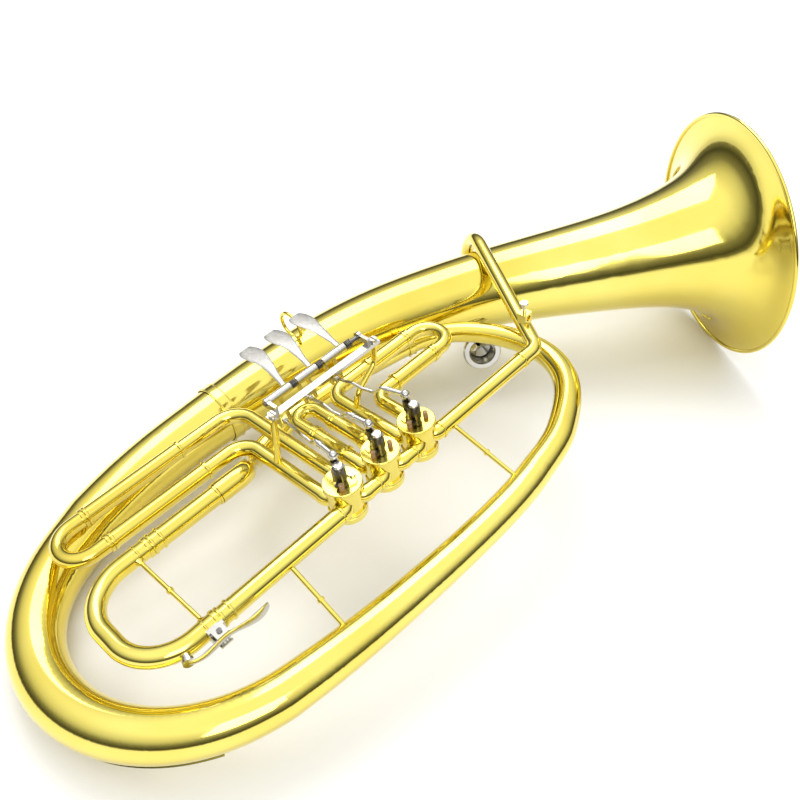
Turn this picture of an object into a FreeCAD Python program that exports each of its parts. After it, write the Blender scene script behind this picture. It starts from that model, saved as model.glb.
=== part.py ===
import FreeCAD, Part
import math
import os

import Sketcher

os.makedirs("parts", exist_ok=True)

# An oval tenor horn with three rotary valves, lying on its back.
# Every piece is drawn in the horn's own axes and then laid down by LYING:
#   x runs across the oval, from the bell branch to the outer branch,
#   y runs along the valve axes, from the front caps to the back of the horn,
#   z runs along the valve row, towards the bell.
# The axes start at the middle of the second valve's front face.

Vector = FreeCAD.Vector
doc = FreeCAD.newDocument("tenor_horn")
sheet = doc.addObject("Spreadsheet::Sheet", "Sizes")
sheet.Label = "Sizes"

DIMENSIONS = [
    # resting position
    ("lie_pitch", 8.36),
    ("lie_roll", -5.7),
    ("lie_height", 116.85),
    ("lie_shift_x", 39.83),
    ("lie_shift_y", -136.27),
    # valves
    ("valve_pitch", 40.0),
    ("casing_radius", 14.0),
    ("casing_bore", 13.0),
    ("casing_front", 3.0),
    ("casing_back", 29.5),
    ("cap_radius", 15.4),
    ("back_cap_radius", 15.2),
    ("valve_depth", 33.0),
    ("port_depth", 16.7),
    ("port_bore", 4.9),
    ("port_angle", 45.0),
    ("elbow_start", 11.4),
    ("elbow_radius", 7.4),
    ("rotor_gap", 0.05),
    ("rotor_front", 6.5),
    ("rotor_back", 27.0),
    ("spindle_radius", 3.4),
    ("spindle_top", -15.0),
    ("arm_radius", 9.0),
    ("arm_radius_third", 7.4),
    ("arm_angle", 172.0),
    ("arm_angle_third", 158.0),
    ("ball_height", -21.0),
    ("ball_radius", 2.6),
    # tubes
    ("tube_wall", 0.6),
    ("tube_radius", 6.4),
    ("sleeve_radius", 7.1),
    ("slide_fit", 0.05),
    ("leadpipe_radius", 6.7),
    ("tuning_radius", 6.6),
    ("tuning_sleeve_radius", 7.3),
    ("tuning_wide_radius", 7.3),
    ("tuning_wide_sleeve_radius", 8.0),
    ("crook_radius", 7.6),
    ("oval_depth", 48.0),
    ("bell_slope", 0.039),
    ("bell_wall", 0.6),
    ("rim_wire_radius", 2.0),
    # paddles
    ("hinge_x", -77.0),
    ("hinge_y", -35.0),
    ("hinge_start", -41.0),
    ("hinge_end", 62.0),
    ("hinge_radius", 2.0),
    ("hinge_fit", 0.06),
    ("hub_radius", 3.7),
    ("bar_x", -65.0),
    ("bar_y", -31.0),
    ("bar_width", 7.0),
    ("bar_thickness", 3.0),
    ("paddle_reach", 64.0),
    ("paddle_width", 16.0),
    ("paddle_thickness", 1.6),
    ("fork_gap", 8.0),
]

ALIAS = {}
for row, (alias, value) in enumerate(DIMENSIONS, start=1):
    sheet.set("A%d" % row, alias)
    sheet.set("B%d" % row, str(value))
    sheet.setAlias("B%d" % row, alias)
    ALIAS[alias] = value
doc.recompute()


def size(alias):
    """A driving dimension, read back from the sheet."""
    return float(sheet.get(alias))


PITCH = size("valve_pitch")
PORT_Y = size("port_depth")
OVAL_Y = size("oval_depth")
TUBE_R = size("tube_radius")
SLEEVE_R = size("sleeve_radius")
WALL = size("tube_wall")
FIT = size("slide_fit")
ELBOW_IN = size("elbow_start") * math.sin(math.radians(size("port_angle")))
ELBOW_R = size("elbow_radius")
ROW_X = ELBOW_IN + ELBOW_R * (1 - math.cos(math.radians(size("port_angle"))))
ELBOW_Z = ELBOW_IN + ELBOW_R * math.sin(math.radians(size("port_angle")))
VALVE_Z = {1: PITCH, 2: 0.0, 3: -PITCH}

LYING = FreeCAD.Placement(
    Vector(size("lie_shift_x"), size("lie_shift_y"), size("lie_height")),
    FreeCAD.Rotation(Vector(0, 1, 0), size("lie_roll"))
    .multiply(FreeCAD.Rotation(Vector(1, 0, 0), size("lie_pitch")))
    .multiply(FreeCAD.Rotation(Vector(1, 0, 0), -90)),
)

NODES = []
DRAWN = {}


def place(item, local=None):
    """Lays a piece down with the whole horn, after its own place in the horn's axes."""
    item.Placement = LYING.multiply(local) if local else LYING
    return item


def keep(item, name, local=None):
    """Names a sub-part and puts it in its place."""
    item.Label = name
    place(item, local)
    NODES.append(item)
    return item


def keep_shape(name, shape):
    """A sub-part whose shape is worked out in code, from the sheet's sizes."""
    item = doc.addObject("Part::Feature", name)
    item.Shape = shape
    DRAWN[name] = shape
    return keep(item, name)


def trimmed(shape, *names):
    """What is left of a shape beside the named pieces: its largest solid."""
    for name in names:
        shape = shape.cut(DRAWN[name])
    return max(shape.Solids, key=lambda solid: solid.Volume)


def axis_place(x, y, z, direction):
    """Turns a piece's own z axis to a direction in the horn's axes."""
    return FreeCAD.Placement(Vector(x, y, z), FreeCAD.Rotation(Vector(0, 0, 1), Vector(*direction)))


# ---------------------------------------------------------------- sketch helpers


def origin_plane(body, role):
    for feature in body.Origin.OriginFeatures:
        if feature.Role == role:
            return feature
    raise ValueError(role)


def outline_sketch(body, role, points, name):
    """A closed outline of straight lines, each corner bound to the sheet by two expressions."""
    sketch = body.newObject("Sketcher::SketchObject", name)
    sketch.AttachmentSupport = [(origin_plane(body, role), "")]
    sketch.MapMode = "FlatFace"
    values = []
    for across, along in points:
        values.append(Vector(evaluate(across), evaluate(along), 0))
    count = len(values)
    for index in range(count):
        sketch.addGeometry(Part.LineSegment(values[index], values[(index + 1) % count]), False)
    for index in range(count):
        following = (index + 1) % count
        sketch.addConstraint(Sketcher.Constraint("Coincident", index, 2, following, 1))
    for index in range(count):
        for kind, expression, value in (
            ("DistanceX", points[index][0], values[index].x),
            ("DistanceY", points[index][1], values[index].y),
        ):
            number = sketch.addConstraint(Sketcher.Constraint(kind, -1, 1, index, 1, value))
            if isinstance(expression, str):
                sketch.setExpression("Constraints[%d]" % number, expression)
    return sketch


def evaluate(expression):
    """The value of a sheet expression such as 'Sizes.cap_radius - 1'."""
    if not isinstance(expression, str):
        return float(expression)
    names = {alias: value for alias, value in ALIAS.items()}
    terms = expression.replace("Sizes.", "")
    total = 0.0
    sign = 1.0
    for word in terms.split():
        if word == "+":
            sign = 1.0
        elif word == "-":
            sign = -1.0
        else:
            total += sign * (names[word] if word in names else float(word))
            sign = 1.0
    return total


def turned(name, outline, local):
    """A turned piece: an outline of (radius, height) corners spun about its own z axis."""
    body = doc.addObject("PartDesign::Body", name)
    sketch = outline_sketch(body, "XZ_Plane", outline, name + "_outline")
    spin = body.newObject("PartDesign::Revolution", name + "_turning")
    spin.Profile = sketch
    spin.ReferenceAxis = (sketch, ["V_Axis"])
    spin.Angle = 360
    sketch.Visibility = False
    return keep(body, name, local)


# ---------------------------------------------------------------- tube helpers


def rounded_path(corners, radii):
    """A wire of straight runs joined by tangent arcs; radii holds one for each inner corner."""
    points = [Vector(*corner) for corner in corners]
    edges = []
    start = points[0]
    for index, radius in enumerate(radii, start=1):
        corner = points[index]
        back = (points[index - 1] - corner).normalize()
        ahead = (points[index + 1] - corner).normalize()
        half = back.getAngle(ahead) / 2
        if math.pi / 2 - half < 0.001:
            continue
        reach = radius / math.tan(half)
        middle = (back + ahead).normalize()
        enter = corner + back * reach
        leave = corner + ahead * reach
        top = corner + middle * (radius / math.sin(half) - radius)
        if start.distanceToPoint(enter) > 0.001:
            edges.append(Part.makeLine(start, enter))
        edges.append(Part.Arc(enter, top, leave).toShape())
        start = leave
    edges.append(Part.makeLine(start, points[-1]))
    return Part.Wire(edges)


def rod(path, radius):
    """A solid round bar along a wire."""
    first = path.OrderedEdges[0]
    begin = first.valueAt(first.FirstParameter)
    heading = first.tangentAt(first.FirstParameter)
    if path.OrderedVertexes[0].Point.distanceToPoint(begin) > 0.001:
        begin = first.valueAt(first.LastParameter)
        heading = first.tangentAt(first.LastParameter) * -1
    ring = Part.Wire([Part.makeCircle(radius, begin, heading)])
    return path.makePipeShell([ring], True, False)


def tube(corners, radii, radius, bore):
    """A hollow tube along a rounded path."""
    path = rounded_path(corners, radii)
    return rod(path, radius).cut(rod(path, bore))


def pipe(start, end, radius, bore):
    """A straight hollow tube between two points."""
    start = Vector(*start)
    axis = Vector(*end) - start
    outer = Part.makeCylinder(radius, axis.Length, start, axis)
    return outer.cut(Part.makeCylinder(bore, axis.Length, start, axis))


def bar(start, end, radius):
    """A straight solid round bar between two points."""
    start = Vector(*start)
    axis = Vector(*end) - start
    return Part.makeCylinder(radius, axis.Length, start, axis)


def bead(point, direction, radius, bore, width):
    """A ring round a tube, centred on a point, with softened edges."""
    axis = Vector(*direction).normalize()
    start = Vector(*point) - axis * (width / 2)
    ring = Part.makeCylinder(radius, width, start, axis)
    ring = ring.makeChamfer(min(0.35, width / 4), ring.Edges[0:1] + ring.Edges[2:3])
    return ring.cut(Part.makeCylinder(bore, width, start, axis))


def circles(stations, inset):
    """One circle for each (point, heading, radius) station, made smaller by inset."""
    wires = []
    for point, heading, radius in stations:
        wires.append(Part.Wire([Part.makeCircle(radius - inset, point, heading)]))
    return wires


def horn_tube(stations, wall):
    """A conical tube through round stations."""
    outer = Part.makeLoft(circles(stations, 0), True)
    inner = Part.makeLoft(circles(stations, wall), True)
    return outer.cut(inner)


# ---------------------------------------------------------------- the oval: bell, bows and branches

# The middle line of the conical tube from the bell's rim to the small end: x, z and outer radius.
# On the bell side it also falls back with z, by the bell's slope.
OVAL = [
    (23, 482, 124.3),
    (19, 475.5, 103),
    (12.5, 465, 85.5),
    (3, 450, 73),
    (-14, 424, 61.5),
    (-49, 368.5, 50),
    (-100, 292.5, 42),
    (-140, 219, 37.8),
    (-168, 146, 34.8),
    (-182, 72, 31.6),
    (-187.5, 8, 28.4),
    (-188.8, -26, 26.6),
    (-188.5, -62, 25.2),
    (-186.5, -96, 24.8),
    (-181, -133, 24.5),
    (-171.5, -172, 24),
    (-151.5, -215, 22.8),
    (-118.5, -251.5, 21.3),
    (-71, -270.5, 20.3),
    (-22, -267.5, 19.4),
    (20.5, -246, 18.5),
    (51.5, -211, 17.7),
    (68.5, -169, 16.8),
    (76, -120, 15.6),
    (81, -65, 14.4),
    (83.5, -12, 13.6),
    (83.5, 40, 13.3),
    (78, 92, 12.9),
    (64.5, 143, 12.3),
    (38.5, 184, 11.6),
    (1, 206, 10.9),
    (-39, 206.5, 10.3),
    (-77, 192.5, 9.8),
    (-101, 171, 9.4),
    (-114, 143, 9.2),
]
BELL_END = 11
BRANCH_END = 15
BOW_END = 22
RIGHT_END = 27


def oval_y(z):
    """Depth of the middle line: level up to the valves, then easing into the bell's steady slope."""
    slope = size("bell_slope")
    ease = 120.0
    if z < ease:
        return OVAL_Y + slope * max(z, 0) ** 2 / (2 * ease)
    return OVAL_Y + slope * (z - ease / 2)


def oval_stations():
    """Every station of the oval as a point, a heading along the middle line and a radius."""
    points = []
    for index, (x, z, radius) in enumerate(OVAL):
        points.append(Vector(x, oval_y(z) if index <= BELL_END else OVAL_Y, z))
    line = Part.BSplineCurve()
    line.interpolate(points)
    stations = []
    for point, (x, z, radius) in zip(points, OVAL):
        heading = Vector(*line.tangent(line.parameter(point))[0])
        stations.append((point, heading, float(radius)))
    return stations


STATIONS = oval_stations()


def make_oval():
    wall = size("bell_wall")
    pieces = {
        "bell": STATIONS[0:BELL_END + 1],
        "bell_branch": STATIONS[BELL_END:BRANCH_END + 1],
        "bottom_bow": STATIONS[BRANCH_END:BOW_END + 1],
        "outer_branch": STATIONS[BOW_END:RIGHT_END + 1],
        "top_bend": STATIONS[RIGHT_END:],
    }
    for name, stations in pieces.items():
        keep_shape(name, horn_tube(stations, wall))
    rim_point, rim_heading, rim_radius = STATIONS[0]
    wire = size("rim_wire_radius")
    torus = Part.makeTorus(rim_radius + 0.4, wire, rim_point, rim_heading)
    keep_shape("bell_rim_wire", trimmed(torus, "bell"))


def make_ferrules():
    """The ferrules where the bell and the crossover meet the rest of the oval."""
    keep_shape("bell_ferrule", ferrule(STATIONS[BELL_END], 5.5, 0.7))
    keep_shape("small_ferrule", ferrule(STATIONS[-1], 4.0, 0.6))


def ferrule(station, half_width, rise):
    """A sleeve with a bead at each edge, round a joint of the conical tube."""
    point, heading, radius = station
    axis = Vector(heading).normalize()
    low = point - axis * half_width
    width = half_width * 2
    grow = 0.35
    body = Part.makeCylinder(radius + grow + rise, width, low, axis)
    edge_low = Part.makeTorus(radius + grow + rise, 0.6, low + axis * 0.9, axis)
    edge_high = Part.makeTorus(radius + grow + rise, 0.6, low + axis * (width - 0.9), axis)
    hollow = Part.makeCylinder(radius + grow, width + 4, low - axis * 2, axis)
    return body.fuse([edge_low, edge_high]).cut(hollow).removeSplitter()


def make_bow_guard():
    """The strip along the outside of the bottom bow, on the side it is laid down on."""
    half_width = 4.0
    rise = 1.0
    lean = math.radians(48)
    sections = []
    for point, heading, radius in STATIONS[BRANCH_END + 1:BOW_END]:
        axis = Vector(heading).normalize()
        outward = axis.cross(Vector(0, 1, 0)) * -1
        if outward.dot(point - Vector(-55, OVAL_Y, -150)) < 0:
            outward = outward * -1
        spoke = outward * math.cos(lean) + Vector(0, math.sin(lean), 0)
        side = spoke.cross(axis)
        corners = []
        for across, up in ((-half_width, -1.5), (half_width, -1.5), (half_width, rise), (-half_width, rise)):
            corners.append(point + side * across + spoke * (radius + up))
        sections.append(Part.makePolygon(corners + corners[:1]))
    bow = Part.makeLoft(circles(grown(STATIONS[BRANCH_END:BOW_END + 1], 0.03), 0), True)
    keep_shape("bow_guard", Part.makeLoft(sections, True).cut(bow))


# ---------------------------------------------------------------- valves


def valve_place(number, y):
    return axis_place(0, y, VALVE_Z[number], (0, 1, 0))


def port_direction(side, end):
    """Across and along parts of a port's heading: side is +1 or -1 across, end is +1 towards the bell."""
    angle = math.radians(size("port_angle"))
    return Vector(side * math.sin(angle), 0, end * math.cos(angle))


def make_casings():
    for number, z in VALVE_Z.items():
        name = "valve_casing_%d" % number
        wall = doc.addObject("Part::Cylinder", name + "_wall")
        wall.setExpression("Radius", "Sizes.casing_radius")
        wall.setExpression("Height", "Sizes.casing_back - Sizes.casing_front")
        bore = doc.addObject("Part::Cylinder", name + "_bore")
        bore.setExpression("Radius", "Sizes.casing_bore")
        bore.setExpression("Height", "Sizes.casing_back - Sizes.casing_front")
        ports = []
        for turn in (45, 135, 225, 315):
            port = doc.addObject("Part::Cylinder", name + "_port")
            port.setExpression("Radius", "Sizes.port_bore")
            port.setExpression("Height", "Sizes.casing_radius + 2")
            depth = size("port_depth") - size("casing_front")
            heading = Vector(math.cos(math.radians(turn)), math.sin(math.radians(turn)), 0)
            port.Placement = FreeCAD.Placement(
                Vector(0, 0, depth), FreeCAD.Rotation(Vector(0, 0, 1), heading)
            )
            ports.append(port)
        holes = doc.addObject("Part::MultiFuse", name + "_holes")
        holes.Shapes = [bore] + ports
        casing = doc.addObject("Part::Cut", name)
        casing.Base = wall
        casing.Tool = holes
        keep(casing, name, valve_place(number, size("casing_front")))


def round_edges_at(shape, y):
    """The circular edges of a shape at one depth."""
    edges = []
    for edge in shape.Edges:
        if abs(edge.CenterOfMass.y - y) < 0.01 and edge.Curve.TypeId == "Part::GeomCircle":
            edges.append(edge)
    return edges


def make_caps():
    back = []
    front = []
    for number, z in VALVE_Z.items():
        centre = Vector(0, size("casing_back"), z)
        along = Vector(0, 1, 0)
        depth = size("valve_depth")
        cap = Part.makeCylinder(size("back_cap_radius"), depth - 24.5, Vector(0, 24.5, z), along)
        cap = cap.makeFillet(1.2, round_edges_at(cap, depth))
        hollow = Part.makeCylinder(
            size("casing_radius"), size("casing_back") - 24.5, Vector(0, 24.5, z), along
        )
        recess = Part.makeCylinder(size("casing_bore") - 2, 1.5, centre, along)
        groove = Part.makeTorus(size("back_cap_radius") + 0.3, 0.8, Vector(0, 27.0, z), along)
        boss = Part.makeCylinder(3.0, 1.0, Vector(0, depth - 1.2, z), along)
        cap = cap.cut(hollow).cut(recess).cut(groove)
        dish = Part.makeCylinder(9.0, 0.7, Vector(0, depth - 0.7, z), along)
        back.append(cap.cut(dish).fuse(boss).removeSplitter())
        ring = Part.makeCylinder(size("cap_radius"), 4.4, Vector(0, 0, z), along)
        ring = ring.makeFillet(0.8, round_edges_at(ring, 0))
        seat = Part.makeCylinder(size("casing_radius"), 1.4, Vector(0, 3.0, z), along)
        hole = Part.makeCylinder(size("spindle_radius") + 0.06, 6, Vector(0, -1, z), along)
        front.append(ring.cut(seat).cut(hole))
    keep_shape("back_caps", Part.makeCompound(back))
    keep_shape("front_bearings", Part.makeCompound(front))


def make_rotors():
    for number, z in VALVE_Z.items():
        name = "rotor_%d" % number
        radius = size("casing_bore") - size("rotor_gap")
        reach = radius * math.sqrt(2)
        front = size("rotor_front")
        top = size("spindle_top")
        along = Vector(0, 1, 0)
        core = Part.makeCylinder(radius, size("rotor_back") - front, Vector(0, front, z), along)
        for side in (1, -1):
            core = core.cut(Part.makeTorus(radius, size("port_bore"), Vector(side * reach, PORT_Y, z), along))
        shaft = Part.makeCylinder(size("spindle_radius"), front - top, Vector(0, top, z), along)
        tail = Part.makeCylinder(2.5, 2.2, Vector(0, size("rotor_back"), z), along)
        keep_shape(name, core.fuse([shaft, tail]).removeSplitter())


def arm_facts(number):
    """Radius, angle in the x-z plane and way of turning of a stop arm."""
    if number == 3:
        return size("arm_radius_third"), math.radians(size("arm_angle_third")), -1
    return size("arm_radius"), math.radians(size("arm_angle")), 1


def ball_point(number):
    radius, angle, way = arm_facts(number)
    z = VALVE_Z[number]
    return Vector(radius * math.cos(angle), size("ball_height"), z + radius * math.sin(angle))


def make_stop_arms():
    for number, z in VALVE_Z.items():
        radius, angle, way = arm_facts(number)
        ball = ball_point(number)
        top = size("spindle_top")
        along = Vector(0, 1, 0)
        hub = Part.makeCylinder(5.0, 11.0, Vector(0, top, z), along)
        lift = Part.makeCylinder(4.2, 4.6, Vector(0, -4.8, z), along)
        finger_angle = angle + math.pi * 0.75
        finger_tip = (8.6 * math.cos(finger_angle), -3.2, z + 8.6 * math.sin(finger_angle))
        finger = bar((0, -3.2, z), finger_tip, 1.5)
        lever = bar((0, -10.0, z), (ball.x, -10.0, ball.z), 2.6)
        post = bar((ball.x, -5.6, ball.z), (ball.x, -15.6, ball.z), 3.2)
        neck = bar((ball.x, -15.6, ball.z), (ball.x, size("ball_height") + 1.8, ball.z), 1.9)
        sphere = Part.makeSphere(size("ball_radius"), Vector(ball.x, size("ball_height"), ball.z))
        hole = Part.makeCylinder(size("spindle_radius"), 20, Vector(0, top - 1, z), along)
        arm = hub.fuse([lift, finger, lever, post, neck, sphere]).cut(hole)
        keep_shape("stop_arm_%d" % number, arm.removeSplitter())
        turned(
            "arm_screw_%d" % number,
            [(0, 0), (4.0, 0), (4.0, 2.0), (3.2, 2.8), (0, 2.8)],
            axis_place(0, top, z, (0, -1, 0)),
        )


def make_stop_plates():
    """The curved stop plates on the front caps, their cork bumpers and their screws."""
    plates = []
    corks = []
    screws = []
    for number, z in VALVE_Z.items():
        arm_radius, angle, way = arm_facts(number)
        along = Vector(0, 1, 0)
        rest_angle = angle + math.pi * 0.75
        swing = way * math.pi / 2
        centre_angle = rest_angle + swing / 2 + math.pi
        plate = Part.makeCylinder(11.8, 1.4, Vector(0, -1.4, z), along)
        plate = plate.cut(Part.makeCylinder(6.4, 1.4, Vector(0, -1.4, z), along))
        wedge = Part.makeBox(30, 4, 17, Vector(3.0, -2, -8.5))
        wedge.rotate(Vector(0, 0, 0), along, -math.degrees(centre_angle))
        wedge.translate(Vector(0, 0, z))
        plates.append(plate.common(wedge))
        for sign in (1, -1):
            stop = centre_angle + math.pi + sign * (math.pi / 4 + 0.45)
            foot = Vector(8.4 * math.cos(stop), 0, z + 8.4 * math.sin(stop))
            corks.append(Part.makeCylinder(2.0, 5.0, Vector(foot.x, -5.0, foot.z), along))
        spot = Vector(8.9 * math.cos(centre_angle), 0, z + 8.9 * math.sin(centre_angle))
        screws.append(Part.makeCylinder(2.4, 1.9, Vector(spot.x, -3.3, spot.z), along))
        slot = Part.makeBox(6, 1, 0.8, Vector(spot.x - 3, -3.4, spot.z - 0.4))
        screws[-1] = screws[-1].cut(slot)
    keep_shape("stop_plates", Part.makeCompound(plates))
    keep_shape("stop_corks", Part.makeCompound(corks))
    keep_shape("stop_screws", Part.makeCompound(screws))


def port_elbow(number, side, end):
    """A port's elbow, from the casing to the row line (side +1) or to the slide line (side -1)."""
    z = VALVE_Z[number]
    start = port_direction(side, end) * size("elbow_start")
    bend = ELBOW_R * math.tan(math.radians(22.5)) * math.sin(math.radians(45))
    if side > 0:
        corner = (ELBOW_IN + bend, PORT_Y, z + end * (ELBOW_IN + bend))
        last = (ROW_X, PORT_Y, z + end * (ELBOW_Z + 0.5))
    else:
        corner = (-(ELBOW_IN + bend), PORT_Y, z + end * ROW_X)
        last = (-(ELBOW_Z + 0.5), PORT_Y, z + end * ROW_X)
    path = rounded_path([(start.x, PORT_Y, z + start.z), corner, last], [ELBOW_R * 0.999])
    casing = Part.makeCylinder(size("casing_radius"), 40, Vector(0, -2, z), Vector(0, 1, 0))
    return rod(path, TUBE_R + 0.4).cut(rod(path, size("port_bore"))).cut(casing)


def make_knuckles():
    """The elbows and short tubes that join the valves along the row."""
    pieces = []
    for number in (1, 2, 3):
        pieces.append(port_elbow(number, 1, 1))
        pieces.append(port_elbow(number, 1, -1))
    for upper, lower in ((1, 2), (2, 3)):
        high = VALVE_Z[upper] - ELBOW_Z - 0.5
        low = VALVE_Z[lower] + ELBOW_Z + 0.5
        pieces.append(pipe((ROW_X, PORT_Y, high), (ROW_X, PORT_Y, low), TUBE_R, TUBE_R - WALL))
        pieces.append(bead((ROW_X, PORT_Y, high - 2.2), (0, 0, 1), TUBE_R + 1.0, TUBE_R, 2.4))
    keep_shape("valve_knuckles", Part.makeCompound(pieces))


# ---------------------------------------------------------------- valve slides


SLIDE_LINE = ELBOW_Z + 0.5


def make_sleeves():
    """The fixed outer legs of the three valve slides, with their elbows and ferrules."""
    for number, z in VALVE_Z.items():
        pieces = [port_elbow(number, -1, 1), port_elbow(number, -1, -1)]
        for leg in slide_legs(number):
            heading = leg["heading"]
            bend = tube(leg["corners"], leg["radii"], TUBE_R, TUBE_R - WALL)
            start = Vector(*leg["corners"][-1])
            end = start + heading * leg["sleeve"]
            pieces.append(bend)
            pieces.append(pipe(tuple(start), tuple(end), SLEEVE_R, TUBE_R + FIT))
            pieces.append(bead(tuple(start - heading * 1.3), tuple(heading), SLEEVE_R + 0.9, TUBE_R, 2.4))
            pieces.append(bead(tuple(end - heading * 1.4), tuple(heading), SLEEVE_R + 0.9, SLEEVE_R, 2.6))
        keep_shape("valve_sleeves_%d" % number, Part.makeCompound(pieces))


def slide_legs(number):
    """The two legs of a valve slide: bent part, heading, sleeve length and how far the U reaches."""
    z = VALVE_Z[number]
    high = z + ROW_X
    low = z - ROW_X
    begin = -SLIDE_LINE
    if number == 1:
        return [
            {"corners": [(begin, PORT_Y, high), (-59, PORT_Y, high), (-59, PORT_Y, 76)],
             "radii": [13], "heading": Vector(0, 0, 1), "sleeve": 46},
            {"corners": [(begin, PORT_Y, low), (-93, PORT_Y, low), (-93, PORT_Y, 76)],
             "radii": [15], "heading": Vector(0, 0, 1), "sleeve": 46},
        ]
    if number == 2:
        return [
            {"corners": [(begin, PORT_Y, high), (-32, PORT_Y, high)],
             "radii": [], "heading": Vector(-1, 0, 0), "sleeve": 35},
            {"corners": [(begin, PORT_Y, low), (-32, PORT_Y, low)],
             "radii": [], "heading": Vector(-1, 0, 0), "sleeve": 35},
        ]
    return [
        {"corners": [(begin, PORT_Y, high), (-147.5, PORT_Y, high), (-147.5, PORT_Y, -92)],
         "radii": [22], "heading": Vector(0, 0, -1), "sleeve": 88},
        {"corners": [(begin, PORT_Y, low), (-109.5, PORT_Y, low), (-109.5, PORT_Y, -92)],
         "radii": [18], "heading": Vector(0, 0, -1), "sleeve": 88},
    ]


SLIDE_CROOK = {1: 131.5, 2: -86.0, 3: -193.0}
SLIDE_INSET = {1: 40.0, 2: 28.0, 3: 80.0}


def make_slides():
    """The three pull-out U slides: inner legs, crook and end rings."""
    for number in (1, 2, 3):
        legs = slide_legs(number)
        heading = legs[0]["heading"]
        ends = [Vector(*leg["corners"][-1]) + heading * leg["sleeve"] for leg in legs]
        inner = [end - heading * SLIDE_INSET[number] for end in ends]
        middle = (ends[0] + ends[1]) * 0.5
        half = ends[0].distanceToPoint(ends[1]) / 2
        straight = abs(SLIDE_CROOK[number] - (middle.x if number == 2 else middle.z))
        turn = straight + half
        corners = [
            tuple(inner[0]),
            tuple(ends[0] + heading * turn),
            tuple(ends[1] + heading * turn),
            tuple(inner[1]),
        ]
        body = tube(corners, [half * 0.999, half * 0.999], TUBE_R, TUBE_R - WALL)
        rings = []
        for end in ends:
            rings.append(bead(tuple(end + heading * 1.8), tuple(heading), TUBE_R + 1.3, TUBE_R - 0.3, 3.0))
        keep_shape("valve_slide_%d" % number, body.fuse(rings).removeSplitter())


# ---------------------------------------------------------------- tuning slide

TUNING_Z = {"low": -168.0, "wide": -163.0}
WIDE_X = -82.0
CROOK_BOTTOM = -226.0


def make_tuning():
    low_r = size("tuning_radius")
    wide_r = size("tuning_wide_radius")
    low_sleeve = size("tuning_sleeve_radius")
    wide_sleeve = size("tuning_wide_sleeve_radius")
    crook = size("crook_radius")
    down = (0, 0, 1)
    start = VALVE_Z[3] - ELBOW_Z - 0.5
    sleeves = [
        pipe((ROW_X, PORT_Y, start), (ROW_X, PORT_Y, TUNING_Z["low"]), low_sleeve, low_r + FIT),
        pipe((WIDE_X, PORT_Y, -100), (WIDE_X, PORT_Y, TUNING_Z["wide"]), wide_sleeve, wide_r + FIT),
    ]
    for z in (start - 1.3, -159.0, TUNING_Z["low"] + 1.3):
        sleeves.append(bead((ROW_X, PORT_Y, z), down, low_sleeve + 0.9, low_sleeve, 2.2))
    for z in (-101.3, -154.0, TUNING_Z["wide"] + 1.3):
        sleeves.append(bead((WIDE_X, PORT_Y, z), down, wide_sleeve + 0.9, wide_sleeve, 2.2))
    keep_shape("tuning_sleeves", Part.makeCompound(sleeves))

    low_top = TUNING_Z["low"] - 3.0
    wide_top = TUNING_Z["wide"] - 3.0
    corners = [
        (ROW_X, PORT_Y, low_top),
        (ROW_X, PORT_Y, CROOK_BOTTOM),
        (WIDE_X, PORT_Y, CROOK_BOTTOM),
        (WIDE_X, PORT_Y, wide_top),
    ]
    body = tube(corners, [38, 38], crook, crook - WALL)
    low_leg = pipe((ROW_X, PORT_Y, -92), (ROW_X, PORT_Y, low_top - 2), low_r, low_r - WALL)
    wide_leg = pipe((WIDE_X, PORT_Y, -108), (WIDE_X, PORT_Y, wide_top - 2), wide_r, wide_r - WALL)
    parts = [low_leg, wide_leg]
    for x, top in ((ROW_X, low_top), (WIDE_X, wide_top)):
        inside = low_r if x > 0 else wide_r
        parts.append(bead((x, PORT_Y, top + 0.6), down, crook + 1.0, inside - 0.2, 3.6))
        parts.append(bead((x, PORT_Y, top - 8.5), down, crook + 0.7, crook - 0.2, 1.8))
    strut = bar((ROW_X - crook + 0.3, PORT_Y, -176.5), (WIDE_X + crook - 0.3, PORT_Y, -176.5), 1.7)
    middle = bead((ROW_X / 2 + WIDE_X / 2, PORT_Y, -176.5), (1, 0, 0), 2.7, 1.5, 2.2)
    feet = []
    for x, side in ((ROW_X - crook, -1), (WIDE_X + crook, 1)):
        feet.append(Part.makeCone(4.0, 1.9, 2.6, Vector(x - side * 0.5, PORT_Y, -176.5), Vector(side, 0, 0)))
    keep_shape("tuning_slide", body.fuse(parts + [strut, middle] + feet).removeSplitter())


# ---------------------------------------------------------------- leadpipe, mouthpiece and crossover

BEND = Vector(ROW_X, PORT_Y, 179.0)
WRAP_FRONT = Vector(-157.5, 5.5, 287.0)
WRAP_BACK = Vector(-165.5, 119.5, 276.0)
MOUTH_HEADING = Vector(0.758, -0.277, -0.59).normalize()
MOUTH_START = WRAP_BACK + MOUTH_HEADING * 33


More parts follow.
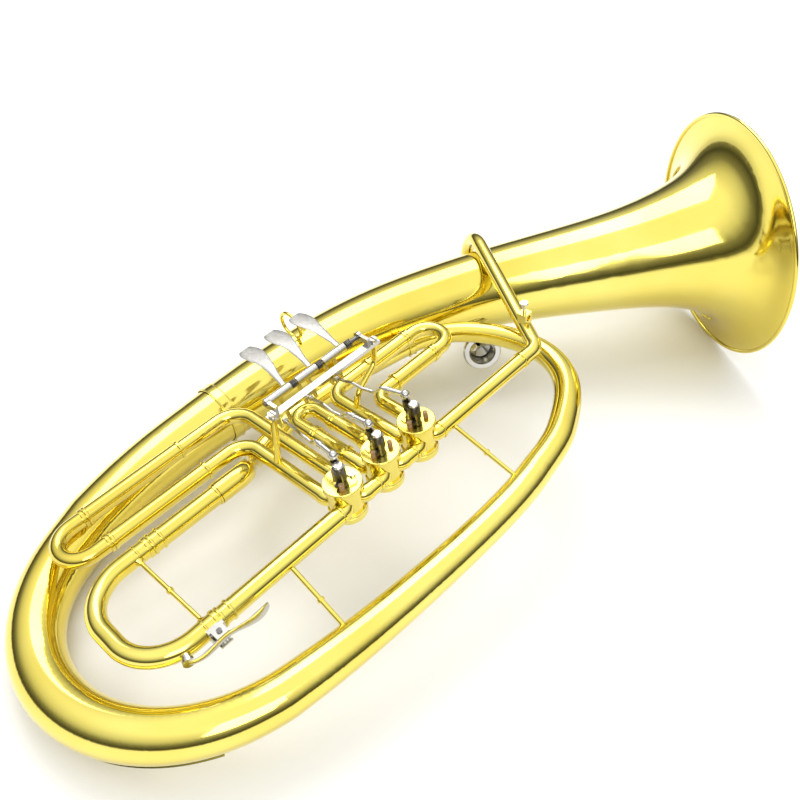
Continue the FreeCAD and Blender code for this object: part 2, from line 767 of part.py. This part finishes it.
def make_leadpipe():
    radius = size("leadpipe_radius")
    bore = radius - WALL
    join_z = VALVE_Z[1] + ELBOW_Z + 0.5
    corners = [tuple(MOUTH_START), tuple(WRAP_BACK), tuple(WRAP_FRONT), tuple(BEND), (ROW_X, PORT_Y, 160)]
    keep_shape("leadpipe", tube(corners, [17, 38, 16], radius, bore))
    tail = [
        pipe((ROW_X, PORT_Y, 160), (ROW_X, PORT_Y, join_z), radius, bore),
        bead((ROW_X, PORT_Y, 158.5), (0, 0, 1), radius + 0.8, radius, 3.0),
        bead((ROW_X, PORT_Y, join_z + 1.4), (0, 0, 1), radius + 0.9, radius, 2.4),
    ]
    keep_shape("leadpipe_tail", Part.makeCompound(tail))
    receiver_place = FreeCAD.Placement(
        MOUTH_START - MOUTH_HEADING * 10, FreeCAD.Rotation(Vector(0, 0, 1), MOUTH_HEADING)
    )
    turned(
        "mouthpiece_receiver",
        [(6.7, 0), (7.6, 0), (8.2, 1.5), (8.2, 30), (8.7, 31), (8.7, 34), (6.0, 34), (6.0, 10.05),
         (6.7, 10.05)],
        receiver_place,
    )
    mouth_place = FreeCAD.Placement(
        MOUTH_START + MOUTH_HEADING * 3, FreeCAD.Rotation(Vector(0, 0, 1), MOUTH_HEADING)
    )
    turned(
        "mouthpiece",
        [(2.6, 0), (5.2, 0), (5.94, 22), (5.94, 24), (5.4, 26), (6.4, 40), (9.0, 50), (13.6, 57), (15.4, 63),
         (18.2, 65), (19.0, 68), (19.0, 70), (17.6, 72), (13.4, 72), (12.2, 69), (10.2, 58), (2.2, 50), (2.2, 30)],
        mouth_place,
    )


def make_crossover():
    """The tube hidden behind the slides, from the tuning slide's wide leg to the oval's small end."""
    small_end, heading, radius = STATIONS[-1]
    heading = Vector(heading).normalize()
    corners = [
        (WIDE_X, PORT_Y, -100),
        (WIDE_X, PORT_Y, -74),
        (-118, 50, -50),
        (-130, OVAL_Y, 10),
        tuple(small_end + heading * 50),
        tuple(small_end),
    ]
    keep_shape("crossover", tube(corners, [13.5, 30, 60, 60], radius, radius - WALL))


# ---------------------------------------------------------------- paddles, hinge and links

HINGE_X = size("hinge_x")
HINGE_Y = size("hinge_y")
HUBS = {1: (23.0, 43.0), 2: (-8.0, 12.0), 3: (-35.0, -15.0)}
SPRINGS = {1: (43.6, 51.0), 2: (12.6, 18.8), 3: (-14.4, -9.0)}
FORK_Z = {1: 25.0, 2: -3.0, 3: -31.0}
PADDLE_Z = {1: 45.0, 2: 17.5, 3: -9.0}
FORK_AT = {1: Vector(-71, -17, 0), 2: Vector(-71, -17, 0), 3: Vector(-71, -14, 0)}


def make_paddles():
    fit = size("hinge_fit")
    gap = size("fork_gap")
    pin_out = 1.3
    pin_in = 1.1
    for number in (1, 2, 3):
        start, end = HUBS[number]
        bore = size("hinge_radius") + fit
        hub = pipe((HINGE_X, HINGE_Y, start), (HINGE_X, HINGE_Y, end), size("hub_radius"), bore)
        fork_z = FORK_Z[number]
        at = FORK_AT[number]
        cheeks = []
        for side in (1, -1):
            z = fork_z + side * (gap / 2 + 0.8)
            lower = Vector(at.x, at.y, z)
            upper = Vector(HINGE_X, HINGE_Y, z)
            cheeks.append(strap(upper, lower, 2.6, 1.6))
            cheeks.append(bar((at.x, at.y, z + side * pin_out), (at.x, at.y, z - side * pin_in), 1.5))
        hub_span = pipe(
            (HINGE_X, HINGE_Y, fork_z - gap / 2 - 1.6), (HINGE_X, HINGE_Y, fork_z + gap / 2 + 1.6),
            size("hub_radius"), bore,
        )
        blade = paddle_blade(number, end - 4.0)
        hole = bar((HINGE_X, HINGE_Y, -80), (HINGE_X, HINGE_Y, 100), bore)
        shape = hub.fuse([hub_span, blade] + cheeks).cut(hole)
        keep_shape("paddle_%d" % number, shape.removeSplitter())


def strap(first, second, half_width, thickness):
    """A flat strap with round ends, square to z, between two points at the same z."""
    along = (second - first).normalize()
    side = Vector(-along.y, along.x, 0)
    z = Vector(0, 0, -thickness / 2)
    corners = [
        first + side * half_width + z,
        second + side * half_width + z,
        second - side * half_width + z,
        first - side * half_width + z,
    ]
    edges = [
        Part.makeLine(corners[0], corners[1]),
        Part.Arc(corners[1], second + along * half_width + z, corners[2]).toShape(),
        Part.makeLine(corners[2], corners[3]),
        Part.Arc(corners[3], first - along * half_width + z, corners[0]).toShape(),
    ]
    return Part.Face(Part.Wire(edges)).extrude(Vector(0, 0, thickness))


def paddle_blade(number, stem_z):
    """A finger paddle: a narrow stem that widens into a spoon-shaped plate, bowed towards the back."""
    reach = size("paddle_reach")
    half = size("paddle_width") / 2
    thickness = size("paddle_thickness")
    middle = PADDLE_Z[number]
    sections = []
    widths = [(0.0, 2.6), (0.18, 2.8), (0.36, 4.2), (0.62, half * 0.86), (0.86, half), (0.97, half * 0.72)]
    for share, width in widths:
        x = HINGE_X - 2.0 - reach * share
        bow = -3.2 - 1.0 * math.sin(math.pi * share) + 1.6 * share
        z = stem_z + (middle - stem_z) * min(1.0, share * 1.8)
        ring = Part.Ellipse(Vector(x, HINGE_Y + bow, z), width, thickness / 2)
        ring.Axis = Vector(1, 0, 0)
        ring.XAxis = Vector(0, 0, 1)
        sections.append(Part.Wire([ring.toShape()]))
    return Part.makeLoft(sections, True)


def make_hinge():
    rod_radius = size("hinge_radius")
    start = size("hinge_start")
    end = size("hinge_end")
    keep_shape("hinge_rod", bar((HINGE_X, HINGE_Y, start), (HINGE_X, HINGE_Y, end), rod_radius))
    springs = []
    for number, (low, high) in SPRINGS.items():
        springs.append(coil(low, high))
    keep_shape("paddle_springs", Part.makeCompound(springs))
    bar_x = size("bar_x")
    bar_y = size("bar_y")
    width = size("bar_width")
    thick = size("bar_thickness")
    corner = Vector(bar_x - width / 2, bar_y - thick / 2, start - 6.5)
    plate = Part.makeBox(width, thick, end - start + 13, corner)
    lugs = []
    for z in (start + 1.0, end - 4.0):
        lug = Part.makeBox(bar_x - HINGE_X, 5.4, 3.0, Vector(HINGE_X, HINGE_Y - 2.7, z))
        eye = Part.makeCylinder(4.0, 3.0, Vector(HINGE_X, HINGE_Y, z), Vector(0, 0, 1))
        lugs.append(lug.fuse(eye))
    hole = bar((HINGE_X, HINGE_Y, start - 20), (HINGE_X, HINGE_Y, end + 20), rod_radius)
    bracket = plate.fuse(lugs).cut(hole).removeSplitter()
    keep_shape("hinge_bracket", bracket)

    foot_left = (bar_x, PORT_Y - TUBE_R + 0.4, -51.0)
    foot_right = (bar_x + 6, PORT_Y - TUBE_R + 0.4, VALVE_Z[1] - ROW_X)
    under = bar_y + thick / 2
    left = bar((bar_x, under, -43.5), foot_left, 3.0)
    right = rod(
        rounded_path([foot_right, (bar_x + 6, -1, 34), (bar_x + 1, -12, 60), (bar_x, under, 64.5)], [8, 10]), 2.6
    )
    tubes = [
        bar((-20, PORT_Y, -PITCH - ROW_X), (-100, PORT_Y, -PITCH - ROW_X), TUBE_R),
        bar((-20, PORT_Y, PITCH - ROW_X), (-78, PORT_Y, PITCH - ROW_X), TUBE_R),
    ]
    posts = [trimmed(post.cut(under_tube), "hinge_bracket") for post, under_tube in zip((left, right), tubes)]
    keep_shape("hinge_posts", Part.makeCompound(posts))
    screws = []
    for z in (-43.5, 64.5):
        head = Part.makeCylinder(3.4, 2.6, Vector(bar_x, bar_y - thick / 2, z), Vector(0, -1, 0))
        slot = Part.makeBox(10, 1.2, 1.0, Vector(bar_x - 5, bar_y - thick / 2 - 2.7, z - 0.5))
        screws.append(head.cut(slot))
    keep_shape("hinge_screws", Part.makeCompound(screws))


def coil(low, high):
    """A return spring wound round the hinge rod."""
    wire = 0.55
    turns_pitch = 1.35
    middle = size("hinge_radius") + 0.25 + wire
    helix = Part.makeHelix(turns_pitch, high - low - 2 * wire, middle)
    ring = Part.Wire([Part.makeCircle(wire, Vector(middle, 0, 0), Vector(0, 1, 0.06))])
    spring = Part.Wire(helix.Edges).makePipeShell([ring], True, True)
    spring.translate(Vector(HINGE_X, HINGE_Y, low + wire))
    return spring


def link_spot(ball, along, distance, y):
    """A point on a link, a distance from its ball and at its own height."""
    point = ball + along * distance
    return (point.x, y, point.z)


def make_links():
    """The S-bent rods from the stop arms' balls to the paddles' forks."""
    for number in (1, 2, 3):
        ball = ball_point(number)
        fork = Vector(FORK_AT[number].x, FORK_AT[number].y, FORK_Z[number])
        level = size("ball_height")
        direction = Vector(fork.x - ball.x, 0, fork.z - ball.z)
        length = direction.Length
        along = direction.normalize()

        socket = bar(link_spot(ball, along, 1.6, level), link_spot(ball, along, 16.0, level), 2.1)
        cup = Part.makeSphere(3.9, ball)
        hollow = Part.makeSphere(size("ball_radius") + 0.1, ball)
        gate = Part.makeCylinder(2.5, 12, ball, Vector(0, 1, 0))
        bends = [
            (15.0, level),
            (22.0, level),
            (29.0, level + 7),
            (40.0, level + 7),
            (48.0, fork.y),
            (length - 1.5, fork.y),
        ]
        spots = [link_spot(ball, along, distance, y) for distance, y in bends]
        path = rounded_path(spots, [4, 4, 4, 4])
        wire = rod(path, 1.5)
        eye = Part.makeCylinder(2.5, 3.2, fork + Vector(0, 0, -1.6), Vector(0, 0, 1))
        collar = bar(link_spot(ball, along, 14.0, level), link_spot(ball, along, 17.5, level), 2.7)
        link = cup.fuse([socket, collar, wire, eye]).cut(hollow).cut(gate)
        keep_shape("link_rod_%d" % number, link.removeSplitter())


# ---------------------------------------------------------------- water key, ring, lyre, braces

KEY_Z = -175.0
KEY_REST_ANGLE = 15.0


def make_water_key():
    """The drain lever on the outer side of the tuning slide, with its cork on the nipple."""
    crook = size("crook_radius")
    side_x = ROW_X + crook
    pivot = Vector(side_x + 4.6, PORT_Y, KEY_Z)
    across = Vector(0, 1, 0)
    slide_tube = bar((ROW_X, PORT_Y, -160), (ROW_X, PORT_Y, -190), crook)

    base = Part.makeBox(4.0, 12.0, 13.0, Vector(side_x - 2.4, PORT_Y - 6, KEY_Z - 6.5))
    ears = []
    for y in (PORT_Y - 6.0, PORT_Y + 4.4):
        ear = Part.makeBox(8.2, 1.6, 9.5, Vector(side_x + 0.8, y, KEY_Z - 4.75))
        ears.append(ear)
    hole = Part.makeCylinder(1.0, 40, Vector(pivot.x, PORT_Y - 20, KEY_Z), across)
    keep_shape("water_key_saddle", trimmed(base.fuse(ears).cut(slide_tube).cut(hole), "tuning_slide"))

    pin = Part.makeCylinder(1.0, 13.2, Vector(pivot.x, PORT_Y - 6.2, KEY_Z), across)
    head = Part.makeCylinder(2.0, 1.2, Vector(pivot.x, PORT_Y - 7.2, KEY_Z), across)
    slot = Part.makeBox(5, 0.6, 0.6, Vector(pivot.x - 2.5, PORT_Y - 7.3, KEY_Z - 0.3))
    keep_shape("water_key_pin", pin.fuse(head).cut(slot).removeSplitter())

    # the crook bends about this point, so the nipple stands square on it
    bend_radius = 38.0
    centre = Vector(ROW_X - bend_radius, PORT_Y, CROOK_BOTTOM + bend_radius)
    angle = math.radians(KEY_REST_ANGLE)
    out = Vector(math.cos(angle), 0, -math.sin(angle))
    near = centre + out * (bend_radius + crook)
    bend = Part.makeTorus(bend_radius, crook, centre, across)
    nipple = Part.makeCylinder(3.2, 3.9, near - out * 1.4, out)
    nipple = nipple.cut(bend).cut(Part.makeCylinder(1.5, 8, near - out * 3, out))
    keep_shape("water_key_nipple", nipple)
    keep_shape("water_key_cork", Part.makeCylinder(3.4, 1.8, near + out * 2.5, out))

    cup = Part.makeCylinder(4.3, 2.6, near + out * 3.3, out)
    cup = cup.cut(Part.makeCylinder(3.4, 1.0, near + out * 3.3, out))
    cup_top = near + out * 5.2
    barrel = Part.makeCylinder(2.6, 8.4, Vector(pivot.x, PORT_Y - 4.2, KEY_Z), across)
    lever = lever_plate([
        (cup_top.x, cup_top.z, 3.2),
        (pivot.x + 3.2, KEY_Z - 14, 3.4),
        (pivot.x + 2.6, KEY_Z - 3, 3.4),
        (pivot.x + 2.6, KEY_Z + 5, 3.2),
        (pivot.x + 6.0, KEY_Z + 18, 4.2),
        (pivot.x + 7.0, KEY_Z + 30, 5.0),
        (pivot.x + 5.4, KEY_Z + 36, 2.6),
    ])
    hole = Part.makeCylinder(1.06, 40, Vector(pivot.x, PORT_Y - 20, KEY_Z), across)
    key = lever.fuse([cup, barrel]).cut(hole)
    keep_shape("water_key_lever", key.removeSplitter())


def lever_plate(stations):
    """A thin plate lofted through (x, z, half width) stations, as wide across y as each says."""
    sections = []
    for index, (x, z, half) in enumerate(stations):
        before = stations[max(index - 1, 0)]
        after = stations[min(index + 1, len(stations) - 1)]
        heading = Vector(after[0] - before[0], 0, after[1] - before[1]).normalize()
        ring = Part.Ellipse(Vector(x, PORT_Y, z), half, 0.8)
        ring.Axis = heading
        ring.XAxis = Vector(0, 1, 0)
        sections.append(Part.Wire([ring.toShape()]))
    return Part.makeLoft(sections, True)


def make_thumb_ring():
    """The ring for the left thumb on its diamond-shaped plate, on the bell."""
    z = 66.0
    centre = Vector(-183.0, 51.0, z)
    radius = 31.9
    ring_radius = 13.0
    wire = 1.7
    top = centre.y - radius
    ring = Part.makeTorus(ring_radius, wire, Vector(centre.x, top - ring_radius - 1.0, z), Vector(0, 0, 1))
    outline = [(0, -15), (8.5, 0), (0, 15), (-8.5, 0)]
    corners = [Vector(centre.x + x, top - 12, z + along) for x, along in outline]
    diamond = Part.Face(Part.makePolygon(corners + corners[:1])).extrude(Vector(0, 20, 0))
    shell = Part.makeLoft(circles(grown(STATIONS[8:12], 1.1), 0), True)
    bell_solid = Part.makeLoft(circles(grown(STATIONS[8:12], 0.03), 0), True)
    plate = shell.common(diamond)
    keep_shape("thumb_ring", trimmed(ring.fuse(plate).cut(bell_solid), "bell"))


def grown(stations, extra):
    return [(point, heading, radius + extra) for point, heading, radius in stations]


def make_lyre_holder():
    """The clamp for a music lyre on the leadpipe, with its thumb screw."""
    x = -14.5
    z = 195.4
    y = 15.4
    radius = size("leadpipe_radius")
    block = Part.makeBox(9, 10.5, 9, Vector(x - 4.5, y - radius - 9.0, z - 4.5))
    socket = Part.makeCylinder(2.6, 20, Vector(x - 10, y - radius - 4.4, z), Vector(1, 0, 0))
    thread_hole = Part.makeCylinder(1.55, 6, Vector(x, y - radius - 4, z), Vector(0, -1, 0))
    path = rounded_path([tuple(WRAP_FRONT), tuple(BEND), (ROW_X, PORT_Y, 150)], [16])
    pipe_room = rod(path, radius)
    keep_shape("lyre_holder", block.cut(socket).cut(thread_hole).cut(pipe_room))
    head = Part.makeCylinder(3.6, 2.2, Vector(x, y - radius - 17.5, z), Vector(0, -1, 0))
    neck = Part.makeCylinder(2.4, 2.0, Vector(x, y - radius - 15.6, z), Vector(0, -1, 0))
    shank = Part.makeCylinder(1.5, 9.6, Vector(x, y - radius - 7.0, z), Vector(0, -1, 0))
    slot = Part.makeBox(9, 1.0, 0.9, Vector(x - 4.5, y - radius - 19.8, z - 0.45))
    keep_shape("lyre_screw", head.fuse([neck, shank]).cut(slot).removeSplitter())


def strut(start, end, keep_out):
    """A brace: a thin rod with a bead at its middle and a spreading foot at each end."""
    start = Vector(*start)
    end = Vector(*end)
    along = Vector(end - start).normalize()
    middle = (start + end) * 0.5
    parts = [
        bead(tuple(middle), tuple(along), 2.9, 1.5, 2.4),
        Part.makeCone(1.9, 3.6, 5.0, start + along * 7.5, along * -1),
        Part.makeCone(1.9, 3.6, 5.0, end - along * 7.5, along),
    ]
    shape = bar(tuple(start), tuple(end), 1.9).fuse(parts)
    for solid in keep_out:
        shape = shape.cut(solid)
    return max(shape.Solids, key=lambda solid: solid.Volume)


def make_braces():
    branch = Part.makeLoft(circles(STATIONS[20:31], 0), True)
    inlet = bar((ROW_X, PORT_Y, 40), (ROW_X, PORT_Y, 170), size("leadpipe_radius"))
    sleeve = bar((ROW_X, PORT_Y, -60), (ROW_X, PORT_Y, -165), size("tuning_sleeve_radius"))
    upper = strut((ROW_X, PORT_Y, 66), (82, 46, 70), [branch, inlet])
    lower = strut((ROW_X, PORT_Y, -108), (78, 46, -110), [branch, sleeve])
    keep_shape("body_braces", Part.makeCompound([upper, lower]))


def make_all():
    make_oval()
    make_ferrules()
    make_bow_guard()
    make_casings()
    make_caps()
    make_rotors()
    make_stop_arms()
    make_stop_plates()
    make_knuckles()
    make_sleeves()
    make_slides()
    make_tuning()
    make_leadpipe()
    make_crossover()
    make_paddles()
    make_hinge()
    make_links()
    make_water_key()
    make_thumb_ring()
    make_lyre_holder()
    make_braces()


make_all()
doc.recompute()

for item in doc.Objects:
    if "Invalid" in item.State or "Error" in item.State:
        raise SystemExit("failed: " + item.Name + " " + str(item.State))
for item in NODES:
    if item.Shape.isNull() or not item.Shape.isValid():
        raise SystemExit("bad shape: " + item.Label)
for item in NODES:
    item.Shape.exportStep("parts/" + item.Label + ".step")
    print("%-22s solids %2d volume %9.1f" % (item.Label, len(item.Shape.Solids), item.Shape.Volume))
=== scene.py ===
import math

import bpy
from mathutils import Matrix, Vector

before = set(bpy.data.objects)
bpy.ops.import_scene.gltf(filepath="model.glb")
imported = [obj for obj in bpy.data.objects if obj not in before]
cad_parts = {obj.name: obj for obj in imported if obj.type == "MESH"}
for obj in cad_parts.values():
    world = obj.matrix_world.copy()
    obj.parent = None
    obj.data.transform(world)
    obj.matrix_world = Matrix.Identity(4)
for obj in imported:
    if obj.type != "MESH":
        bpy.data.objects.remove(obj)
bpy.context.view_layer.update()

# The looks of an oval tenor horn: lacquered brass tubes, nickel trim, satin paddles.

GOLD = (0.83, 0.69, 0.13)
GOLD_LIGHT = (0.87, 0.76, 0.19)
GOLD_DEEP = (0.77, 0.61, 0.09)
NICKEL = (0.62, 0.61, 0.57)
NICKEL_DARK = (0.40, 0.385, 0.35)
TARNISH_DARK = (0.03, 0.027, 0.022)
TARNISH = (0.08, 0.072, 0.06)
TARNISH_LIGHT = (0.14, 0.13, 0.11)
SATIN = (0.70, 0.69, 0.66)
SATIN_DARK = (0.50, 0.49, 0.46)
STEEL = (0.10, 0.098, 0.095)
STEEL_LIGHT = (0.26, 0.25, 0.24)
CORK_LIGHT = (0.50, 0.31, 0.15)
CORK_DARK = (0.24, 0.13, 0.06)

VALVE_AXIS = (0.098, 0.145, -0.984)  # along the rotors' spindles, pointing down
SCRATCH_BUMP = 0.12
SCRATCH_DEPTH = 0.0002
WAVE_DEPTH = 0.002


# ---------------------------------------------------------------- node helpers


def empty_material(name):
    material = bpy.data.materials.new(name)
    material.use_nodes = True
    tree = material.node_tree
    tree.nodes.clear()
    output = tree.nodes.new("ShaderNodeOutputMaterial")
    shader = tree.nodes.new("ShaderNodeBsdfPrincipled")
    tree.links.new(shader.outputs["BSDF"], output.inputs["Surface"])
    return material, tree, shader


def noise(tree, scale, detail=4.0, stretch=(1, 1, 1)):
    """A noise pattern fixed to the piece, scaled in metres."""
    place = tree.nodes.new("ShaderNodeTexCoord")
    mapping = tree.nodes.new("ShaderNodeMapping")
    mapping.inputs["Scale"].default_value = stretch
    tree.links.new(place.outputs["Object"], mapping.inputs["Vector"])
    pattern = tree.nodes.new("ShaderNodeTexNoise")
    pattern.inputs["Scale"].default_value = scale
    pattern.inputs["Detail"].default_value = detail
    tree.links.new(mapping.outputs["Vector"], pattern.inputs["Vector"])
    return pattern.outputs["Fac"]


def ramp(tree, value, stops):
    """Turns a value into a colour through stops of (position, colour)."""
    node = tree.nodes.new("ShaderNodeValToRGB")
    elements = node.color_ramp.elements
    while len(elements) < len(stops):
        elements.new(0.5)
    for element, (position, color) in zip(elements, stops):
        element.position = position
        element.color = (*color, 1.0)
    tree.links.new(value, node.inputs["Fac"])
    return node.outputs["Color"]


def spread(tree, value, low, high):
    """Stretches a value from 0..1 to low..high."""
    node = tree.nodes.new("ShaderNodeMapRange")
    node.inputs["To Min"].default_value = low
    node.inputs["To Max"].default_value = high
    tree.links.new(value, node.inputs["Value"])
    return node.outputs["Result"]


def color_mix(tree, factor):
    """A colour mix node, with its two colour inputs and its colour output."""
    node = tree.nodes.new("ShaderNodeMix")
    node.data_type = "RGBA"
    tree.links.new(factor, node.inputs["Factor"])
    first, second = [socket for socket in node.inputs if socket.type == "RGBA"]
    mixed = [socket for socket in node.outputs if socket.type == "RGBA"][0]
    return first, second, mixed


def bump(tree, shader, height, strength, distance):
    node = tree.nodes.new("ShaderNodeBump")
    node.inputs["Strength"].default_value = strength
    node.inputs["Distance"].default_value = distance
    tree.links.new(height, node.inputs["Height"])
    tree.links.new(node.outputs["Normal"], shader.inputs["Normal"])


# ---------------------------------------------------------------- materials


def polished(name, tints, rough, wave, coat=0.0):
    """A polished metal: faint drifts of tint, smudged roughness and a slight hammered wave."""
    dark, middle, light = tints
    material, tree, shader = empty_material(name)
    shader.inputs["Metallic"].default_value = 1.0
    shader.inputs["Coat Weight"].default_value = coat
    shader.inputs["Coat Roughness"].default_value = 0.05
    drift = noise(tree, 7.0, 3.0)
    tint = ramp(tree, drift, [(0.30, dark), (0.50, middle), (0.72, light)])
    tree.links.new(tint, shader.inputs["Base Color"])
    smudge = noise(tree, 38.0, 6.0)
    tree.links.new(spread(tree, smudge, *rough), shader.inputs["Roughness"])
    bump(tree, shader, noise(tree, 26.0, 1.0), wave, WAVE_DEPTH)
    return material


def satin(name, dark, light, rough, stretch):
    """A brushed metal: fine scratches along one direction."""
    material, tree, shader = empty_material(name)
    shader.inputs["Metallic"].default_value = 1.0
    scratch = noise(tree, 260.0, 8.0, stretch)
    tree.links.new(ramp(tree, scratch, [(0.3, dark), (0.7, light)]), shader.inputs["Base Color"])
    tree.links.new(spread(tree, scratch, *rough), shader.inputs["Roughness"])
    bump(tree, shader, scratch, SCRATCH_BUMP, SCRATCH_DEPTH)
    return material


def paddle_plate(name):
    """Satin silver on the flat faces and bare brass round the edges, told apart by the way each faces."""
    material, tree, shader = empty_material(name)
    shader.inputs["Metallic"].default_value = 1.0
    scratch = noise(tree, 240.0, 8.0, (1, 6, 1))
    place = tree.nodes.new("ShaderNodeTexCoord")
    facing = tree.nodes.new("ShaderNodeVectorMath")
    facing.operation = "DOT_PRODUCT"
    facing.inputs[1].default_value = VALVE_AXIS
    tree.links.new(place.outputs["Normal"], facing.inputs[0])
    flat = tree.nodes.new("ShaderNodeMath")
    flat.operation = "ABSOLUTE"
    tree.links.new(facing.outputs["Value"], flat.inputs[0])
    edge = tree.nodes.new("ShaderNodeMapRange")
    edge.inputs["From Min"].default_value = 0.25
    edge.inputs["From Max"].default_value = 0.55
    tree.links.new(flat.outputs["Value"], edge.inputs["Value"])
    brass, silver, mixed = color_mix(tree, edge.outputs["Result"])
    tree.links.new(ramp(tree, scratch, [(0.3, GOLD_DEEP), (0.7, GOLD)]), brass)
    tree.links.new(ramp(tree, scratch, [(0.3, SATIN_DARK), (0.7, SATIN)]), silver)
    tree.links.new(mixed, shader.inputs["Base Color"])
    tree.links.new(spread(tree, scratch, 0.24, 0.38), shader.inputs["Roughness"])
    bump(tree, shader, scratch, SCRATCH_BUMP, SCRATCH_DEPTH)
    return material


def cork(name):
    """Cork: fine brown grain and a rough, pitted face."""
    material, tree, shader = empty_material(name)
    grain = noise(tree, 900.0, 8.0)
    tint = ramp(tree, grain, [(0.35, CORK_DARK), (0.65, CORK_LIGHT)])
    tree.links.new(tint, shader.inputs["Base Color"])
    shader.inputs["Roughness"].default_value = 0.85
    bump(tree, shader, grain, 0.5, 0.0003)
    return material


GOLDS = (GOLD_DEEP, GOLD, GOLD_LIGHT)
BRASS = polished("lacquered_brass", GOLDS, (0.06, 0.13), 0.05, coat=0.35)
CAP_BRASS = polished("cap_brass", GOLDS, (0.12, 0.22), 0.03, coat=0.2)
SILVER = polished("nickel_silver", (NICKEL_DARK, NICKEL, NICKEL), (0.10, 0.22), 0.04)
DARK_NICKEL = polished("dark_nickel", (TARNISH_DARK, TARNISH, TARNISH_LIGHT), (0.12, 0.24), 0.04)
PADDLE = paddle_plate("satin_silver")
DARK = satin("dark_steel", STEEL, STEEL_LIGHT, (0.22, 0.40), (1, 1, 4))
CORK = cork("cork")

MATERIALS = {
    "hinge_screws": SILVER, "hinge_bracket": SILVER, "stop_screws": SILVER, "stop_plates": CAP_BRASS,
    "front_bearings": CAP_BRASS, "back_caps": CAP_BRASS,
    "water_key_lever": SILVER, "water_key_saddle": SILVER, "water_key_pin": DARK, "water_key_nipple": SILVER,
    "lyre_screw": SILVER, "mouthpiece": SILVER,
    "hinge_rod": DARK, "paddle_springs": DARK,
    "water_key_cork": CORK, "stop_corks": CORK,
}
for number in (1, 2, 3):
    MATERIALS["stop_arm_%d" % number] = DARK_NICKEL
    MATERIALS["arm_screw_%d" % number] = SILVER
    MATERIALS["link_rod_%d" % number] = SILVER
    MATERIALS["paddle_%d" % number] = PADDLE
    MATERIALS["rotor_%d" % number] = DARK

for name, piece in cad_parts.items():
    piece.data.materials.clear()
    piece.data.materials.append(MATERIALS.get(name, BRASS))


# ---------------------------------------------------------------- floor

FLOOR_SIZE = 30.0
FLOOR_GAP = 0.0005  # the floor lies this much under the horn, so that none of its faces is in the floor
FLOOR_DARK = (0.86, 0.86, 0.86)
FLOOR_LIGHT = (0.90, 0.90, 0.90)

bpy.ops.mesh.primitive_plane_add(size=FLOOR_SIZE, location=(0, 0, -FLOOR_GAP))
floor = bpy.context.object
floor.name = "floor"
floor_material, floor_tree, floor_shader = empty_material("floor")
floor_shader.inputs["Roughness"].default_value = 0.9
floor_shader.inputs["Specular IOR Level"].default_value = 0.1
floor_tint = ramp(floor_tree, noise(floor_tree, 3.0), [(0.0, FLOOR_DARK), (1.0, FLOOR_LIGHT)])
floor_tree.links.new(floor_tint, floor_shader.inputs["Base Color"])
floor.data.materials.append(floor_material)


# ---------------------------------------------------------------- light

# the sky by height, from the horizon at 0 to the zenith at 1
# the dark band low down gives the brass its dark lines
SKY = [
    (0.0, (0.16, 0.16, 0.14)),
    (0.10, (0.05, 0.05, 0.04)),
    (0.30, (0.20, 0.20, 0.185)),
    (0.52, (0.62, 0.62, 0.60)),
    (0.80, (1.0, 1.0, 1.0)),
]
SKY_STRENGTH = 1.3
BACKDROP = (0.92, 0.92, 0.92, 1.0)  # what shows past the floor's edge in place of that sky


def panel(name, place, side, power, tint):
    """A square soft box that faces the middle of the horn's footprint."""
    data = bpy.data.lights.new(name, "AREA")
    data.shape = "RECTANGLE"
    data.size = side
    data.size_y = side
    data.energy = power
    data.color = tint
    light = bpy.data.objects.new(name, data)
    light.location = place
    light.rotation_mode = "QUATERNION"
    light.rotation_quaternion = (-Vector(place)).to_track_quat("-Z", "Y")
    bpy.context.scene.collection.objects.link(light)


world = bpy.data.worlds.new("studio")
bpy.context.scene.world = world
world.use_nodes = True
sky = world.node_tree
direction = sky.nodes.new("ShaderNodeTexCoord")
heights = sky.nodes.new("ShaderNodeSeparateXYZ")
sky.links.new(direction.outputs["Generated"], heights.inputs["Vector"])
path = sky.nodes.new("ShaderNodeLightPath")
lighting, backdrop, seen = color_mix(sky, path.outputs["Is Camera Ray"])
sky.links.new(ramp(sky, heights.outputs["Z"], SKY), lighting)
backdrop.default_value = BACKDROP
sky.links.new(seen, sky.nodes["Background"].inputs["Color"])
sky.nodes["Background"].inputs["Strength"].default_value = SKY_STRENGTH

panel("key", (-1.2, 0.6, 2.2), 1.6, 30, (1.0, 0.99, 0.97))
panel("front", (1.4, -1.2, 1.6), 1.2, 16, (1.0, 0.99, 0.98))


# ---------------------------------------------------------------- camera

CAMERA_PLACE = (0.3656, -0.4749, 0.5674)
CAMERA_TURN = (49.52, -2.48, 44.40)  # degrees
CAMERA_LENS = 38.63
CAMERA_SENSOR = 36.0

camera_data = bpy.data.cameras.new("camera")
camera_data.lens = CAMERA_LENS
camera_data.sensor_width = CAMERA_SENSOR
camera_data.dof.use_dof = False
camera_data.clip_start = 0.01
camera = bpy.data.objects.new("camera", camera_data)
camera.location = CAMERA_PLACE
camera.rotation_euler = [math.radians(turn) for turn in CAMERA_TURN]
bpy.context.scene.collection.objects.link(camera)
bpy.context.scene.camera = camera
bpy.context.scene.view_settings.view_transform = "Standard"
